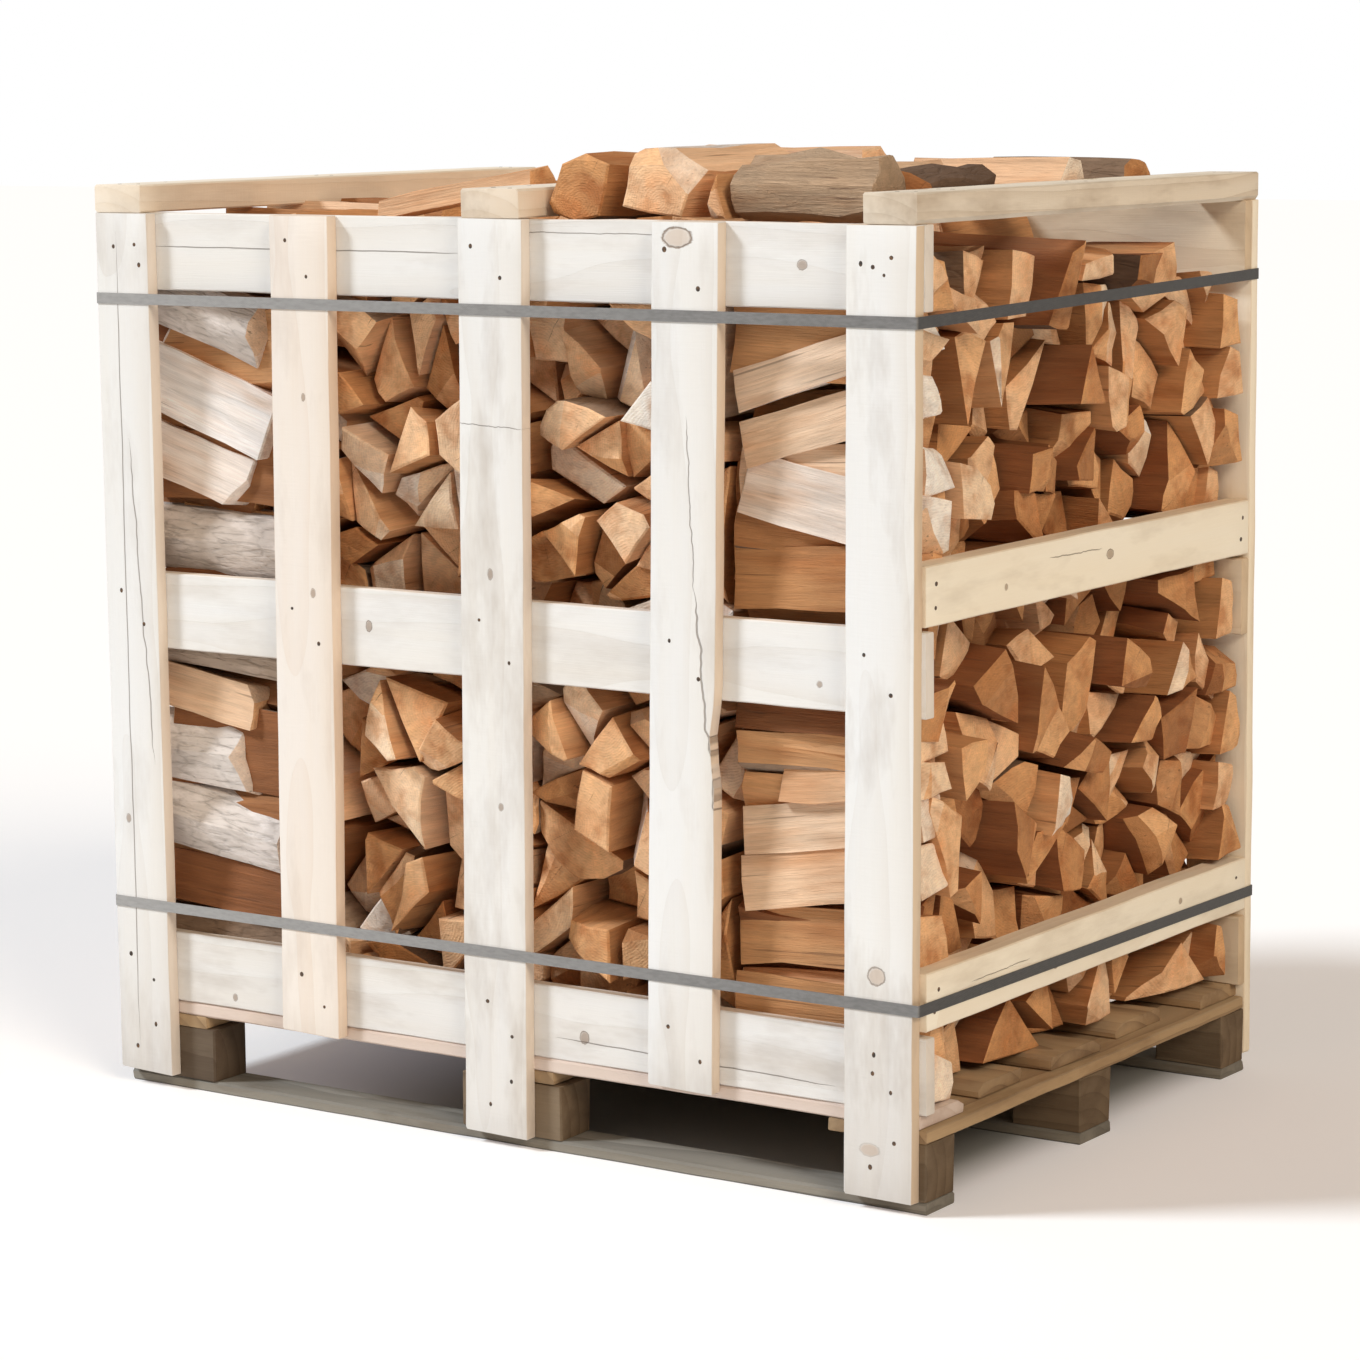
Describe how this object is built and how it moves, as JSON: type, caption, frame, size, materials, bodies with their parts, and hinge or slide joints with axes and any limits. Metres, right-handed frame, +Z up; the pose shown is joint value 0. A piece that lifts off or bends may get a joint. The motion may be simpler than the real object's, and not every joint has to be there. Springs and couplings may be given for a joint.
{
  "type": "pallet of firewood",
  "caption": "Slatted wooden crate on a pallet, filled with stacked split logs that heap over the rim, held by two flat straps.",
  "frame": {"origin": "middle of the footprint, on the floor", "axes": "+X along the long side, -Y the front with its upright slats, +Z up"},
  "size_m": [1.2026, 0.8386, 1.202],
  "materials": {
    "crate_wood": "rough-sawn pale softwood, knots and drying cracks",
    "pallet_wood": "rough weathered softwood with bark edges",
    "strap_plastic": "satin dark grey embossed band",
    "split_log": "split and sawn faces with fibres",
    "log_bark": "grey-brown bark"
  },
  "bodies": {
    "root": {"back_board_low": "crate_wood", "back_board_middle": "crate_wood", "back_board_top": "crate_wood", "back_slat_1": "crate_wood", "back_slat_2": "crate_wood", "back_slat_3": "crate_wood", "back_slat_4": "crate_wood", "back_slat_5": "crate_wood", "batten_centre": "crate_wood", "batten_left": "crate_wood", "batten_right": "crate_wood", "block_centre_back": "pallet_wood", "block_centre_front": "pallet_wood", "block_centre_middle": "pallet_wood", "block_left_back": "pallet_wood", "block_left_front": "pallet_wood", "block_left_middle": "pallet_wood", "block_right_back": "pallet_wood", "block_right_front": "pallet_wood", "block_right_middle": "pallet_wood", "bottom_board_back": "pallet_wood", "bottom_board_front": "pallet_wood", "bottom_board_middle": "pallet_wood", "cross_board_centre": "pallet_wood", "cross_board_left": "pallet_wood", "cross_board_right": "pallet_wood", "deck_board_1": "pallet_wood", "deck_board_2": "pallet_wood", "deck_board_3": "pallet_wood", "deck_board_4": "pallet_wood", "deck_board_5": "pallet_wood", "front_board_low": "crate_wood", "front_board_middle": "crate_wood", "front_board_top": "crate_wood", "front_slat_1": "crate_wood", "front_slat_2": "crate_wood", "front_slat_3": "crate_wood", "front_slat_4": "crate_wood", "front_slat_5": "crate_wood", "left_rail_low": "crate_wood", "left_rail_middle": "crate_wood", "right_rail_low": "crate_wood", "right_rail_middle": "crate_wood", "stack_back": "split_log", "stack_front": "split_log", "stack_left": "split_log", "stack_middle": "split_log", "stack_right": "split_log", "strap_lower": "strap_plastic", "strap_upper": "strap_plastic", "top_log_1": "split_log", "top_log_10": "split_log", "top_log_2": "split_log", "top_log_3": "split_log", "top_log_4": "log_bark", "top_log_5": "split_log", "top_log_6": "log_bark", "top_log_7": "split_log", "top_log_8": "split_log", "top_log_9": "log_bark"}
  },
  "joints": []
}
